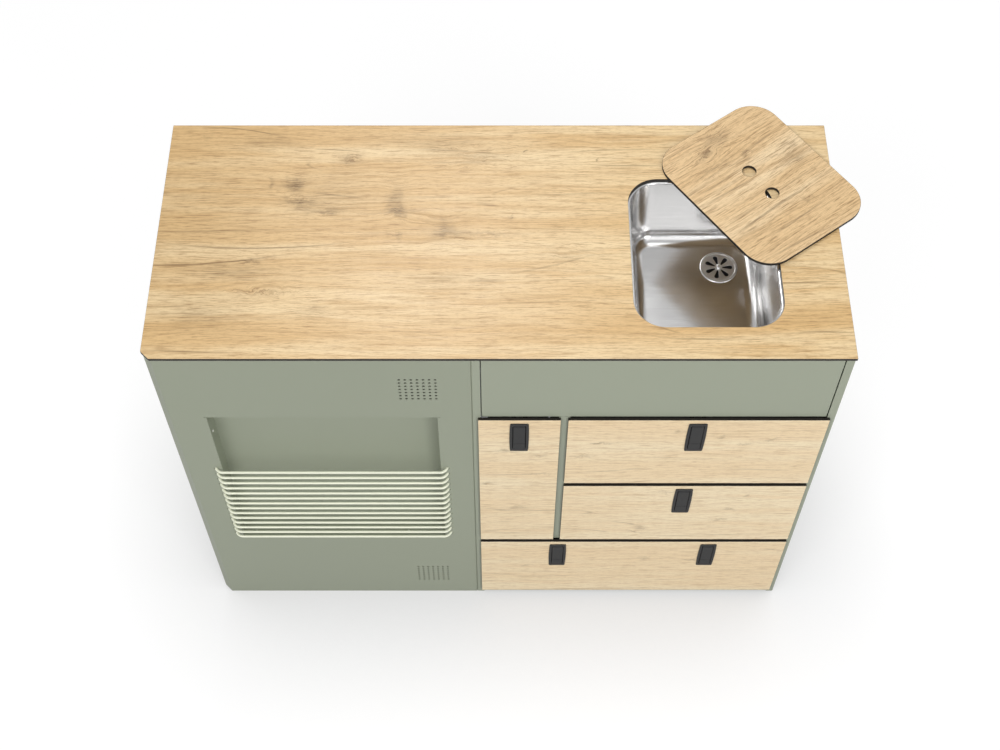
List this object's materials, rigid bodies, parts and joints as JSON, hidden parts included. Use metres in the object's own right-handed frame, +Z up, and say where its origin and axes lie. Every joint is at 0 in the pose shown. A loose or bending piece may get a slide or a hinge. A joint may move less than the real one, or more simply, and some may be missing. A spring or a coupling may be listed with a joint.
{
  "type": "kitchen unit with sink",
  "caption": "Compact kitchen block: thin wood-faced worktop, small steel sink with a loose lid, recessed rod rack and latched drawers on full-extension runners.",
  "frame": {"origin": "middle of the base, on the floor, half way along the width and the carcass depth", "axes": "+X to the right along the width, +Y from the drawer fronts to the back, +Z up"},
  "size_m": [1.2442, 0.5596, 0.956],
  "materials": {
    "oak_laminate": "oak decor, satin, black core edges",
    "powder_coat": "sage green fine powder coat",
    "rod_coat": "pale green gloss coat",
    "brushed_stainless": "satin brushed",
    "bright_steel": "zinc plated",
    "drawer_steel": "grey powder coat",
    "latch_plastic": "fine moulded grain",
    "waste_plastic": "smooth"
  },
  "bodies": {
    "root": {"worktop": "oak_laminate", "left_cover": "powder_coat", "left_base": "powder_coat", "recess_tray": "powder_coat", "rack_rods": "rod_coat", "tray_rivets": "bright_steel", "inner_side_panel": "powder_coat", "right_side_panel": "powder_coat", "right_base": "powder_coat", "fascia": "powder_coat", "fascia_flanges": "powder_coat", "upper_rail": "powder_coat", "lower_rail": "powder_coat", "latch_keepers": "bright_steel", "divider": "powder_coat", "rear_top_rails": "powder_coat", "rear_middle_rail": "powder_coat", "rear_bottom_rails": "powder_coat", "runner_brackets": "bright_steel", "fixed_runners": "bright_steel", "sink_bowl": "brushed_stainless", "sink_clips": "bright_steel", "drain_body": "waste_plastic", "drain_nut": "waste_plastic"},
    "narrow_drawer": {"narrow_front": "oak_laminate", "narrow_tray": "drawer_steel", "narrow_drawer_runners": "bright_steel", "narrow_latch_housing": "latch_plastic", "narrow_latch_pin": "bright_steel"},
    "narrow_middle_members": {"narrow_middle_runners": "bright_steel"},
    "narrow_paddle": {"narrow_latch_paddle": "latch_plastic"},
    "narrow_bolt": {"narrow_latch_bolt": "bright_steel"},
    "top_drawer": {"top_front": "oak_laminate", "top_tray": "drawer_steel", "top_drawer_runners": "bright_steel", "top_latch_housing": "latch_plastic", "top_latch_pin": "bright_steel"},
    "top_middle_members": {"top_middle_runners": "bright_steel"},
    "top_paddle": {"top_latch_paddle": "latch_plastic"},
    "top_bolt": {"top_latch_bolt": "bright_steel"},
    "middle_drawer": {"middle_front": "oak_laminate", "middle_tray": "drawer_steel", "middle_drawer_runners": "bright_steel", "middle_latch_housing": "latch_plastic", "middle_latch_pin": "bright_steel"},
    "middle_middle_members": {"middle_middle_runners": "bright_steel"},
    "middle_paddle": {"middle_latch_paddle": "latch_plastic"},
    "middle_bolt": {"middle_latch_bolt": "bright_steel"},
    "bottom_drawer": {"bottom_front": "oak_laminate", "bottom_tray": "drawer_steel", "bottom_drawer_runners": "bright_steel", "bottom_latch_housing": "latch_plastic", "bottom_latch_pin": "bright_steel"},
    "bottom_middle_members": {"bottom_middle_runners": "bright_steel"},
    "bottom_left_paddle": {"bottom_left_latch_paddle": "latch_plastic"},
    "bottom_left_bolt": {"bottom_left_latch_bolt": "bright_steel"},
    "bottom_right_paddle": {"bottom_right_latch_paddle": "latch_plastic"},
    "bottom_right_bolt": {"bottom_right_latch_bolt": "bright_steel"},
    "lid": {"sink_lid": "oak_laminate"},
    "strainer": {"drain_strainer": "brushed_stainless"}
  },
  "joints": [
    {"name": "narrow_drawer_slide", "type": "slide", "parent": "root", "child": "narrow_drawer", "axis": [0, -1, 0], "range_m": [0, 0.4]},
    {"name": "narrow_middle_slide", "type": "slide", "parent": "root", "child": "narrow_middle_members", "axis": [0, -1, 0], "range_m": [0, 0.2]},
    {"name": "narrow_bolt_slide", "type": "slide", "parent": "narrow_drawer", "child": "narrow_bolt", "axis": [0, 0, -1], "range_m": [0, 0.0072]},
    {"name": "narrow_paddle_hinge", "type": "hinge", "parent": "narrow_drawer", "child": "narrow_paddle", "pos_m": [0.037, -0.2536, 0.7249], "axis": [-1, 0, 0], "range_deg": [0, 35], "stiffness_Nm_per_rad": 0.05, "springref_deg": -5.73},
    {"name": "top_drawer_slide", "type": "slide", "parent": "root", "child": "top_drawer", "axis": [0, -1, 0], "range_m": [0, 0.4]},
    {"name": "top_middle_slide", "type": "slide", "parent": "root", "child": "top_middle_members", "axis": [0, -1, 0], "range_m": [0, 0.2]},
    {"name": "top_bolt_slide", "type": "slide", "parent": "top_drawer", "child": "top_bolt", "axis": [0, 0, -1], "range_m": [0, 0.0072]},
    {"name": "top_paddle_hinge", "type": "hinge", "parent": "top_drawer", "child": "top_paddle", "pos_m": [0.357, -0.2536, 0.7249], "axis": [-1, 0, 0], "range_deg": [0, 35], "stiffness_Nm_per_rad": 0.05, "springref_deg": -5.73},
    {"name": "middle_drawer_slide", "type": "slide", "parent": "root", "child": "middle_drawer", "axis": [0, -1, 0], "range_m": [0, 0.4]},
    {"name": "middle_middle_slide", "type": "slide", "parent": "root", "child": "middle_middle_members", "axis": [0, -1, 0], "range_m": [0, 0.2]},
    {"name": "middle_bolt_slide", "type": "slide", "parent": "middle_drawer", "child": "middle_bolt", "axis": [0, 0, -1], "range_m": [0, 0.0072]},
    {"name": "middle_paddle_hinge", "type": "hinge", "parent": "middle_drawer", "child": "middle_paddle", "pos_m": [0.357, -0.2536, 0.4764], "axis": [-1, 0, 0], "range_deg": [0, 35], "stiffness_Nm_per_rad": 0.05, "springref_deg": -5.73},
    {"name": "bottom_drawer_slide", "type": "slide", "parent": "root", "child": "bottom_drawer", "axis": [0, -1, 0], "range_m": [0, 0.4]},
    {"name": "bottom_middle_slide", "type": "slide", "parent": "root", "child": "bottom_middle_members", "axis": [0, -1, 0], "range_m": [0, 0.2]},
    {"name": "bottom_left_bolt_slide", "type": "slide", "parent": "bottom_drawer", "child": "bottom_left_bolt", "axis": [0, 0, -1], "range_m": [0, 0.0072]},
    {"name": "bottom_left_paddle_hinge", "type": "hinge", "parent": "bottom_drawer", "child": "bottom_left_paddle", "pos_m": [0.1215, -0.2536, 0.2334], "axis": [-1, 0, 0], "range_deg": [0, 35], "stiffness_Nm_per_rad": 0.05, "springref_deg": -5.73},
    {"name": "bottom_right_bolt_slide", "type": "slide", "parent": "bottom_drawer", "child": "bottom_right_bolt", "axis": [0, 0, -1], "range_m": [0, 0.0072]},
    {"name": "bottom_right_paddle_hinge", "type": "hinge", "parent": "bottom_drawer", "child": "bottom_right_paddle", "pos_m": [0.4315, -0.2536, 0.2334], "axis": [-1, 0, 0], "range_deg": [0, 35], "stiffness_Nm_per_rad": 0.05, "springref_deg": -5.73},
    {"name": "lid_lift", "type": "slide", "parent": "root", "child": "lid", "axis": [0, 0, 1], "range_m": [0, 0.3]},
    {"name": "strainer_lift", "type": "slide", "parent": "root", "child": "strainer", "axis": [0, 0, 1], "range_m": [0, 0.1]}
  ],
  "couplings": [
    {"joint": "narrow_middle_slide", "follows": "narrow_drawer_slide", "ratio": 0.5},
    {"joint": "narrow_paddle_hinge", "follows": "narrow_bolt_slide", "rad_per_m": 84.84},
    {"joint": "top_middle_slide", "follows": "top_drawer_slide", "ratio": 0.5},
    {"joint": "top_paddle_hinge", "follows": "top_bolt_slide", "rad_per_m": 84.84},
    {"joint": "middle_middle_slide", "follows": "middle_drawer_slide", "ratio": 0.5},
    {"joint": "middle_paddle_hinge", "follows": "middle_bolt_slide", "rad_per_m": 84.84},
    {"joint": "bottom_middle_slide", "follows": "bottom_drawer_slide", "ratio": 0.5},
    {"joint": "bottom_left_paddle_hinge", "follows": "bottom_left_bolt_slide", "rad_per_m": 84.84},
    {"joint": "bottom_right_paddle_hinge", "follows": "bottom_right_bolt_slide", "rad_per_m": 84.84}
  ]
}
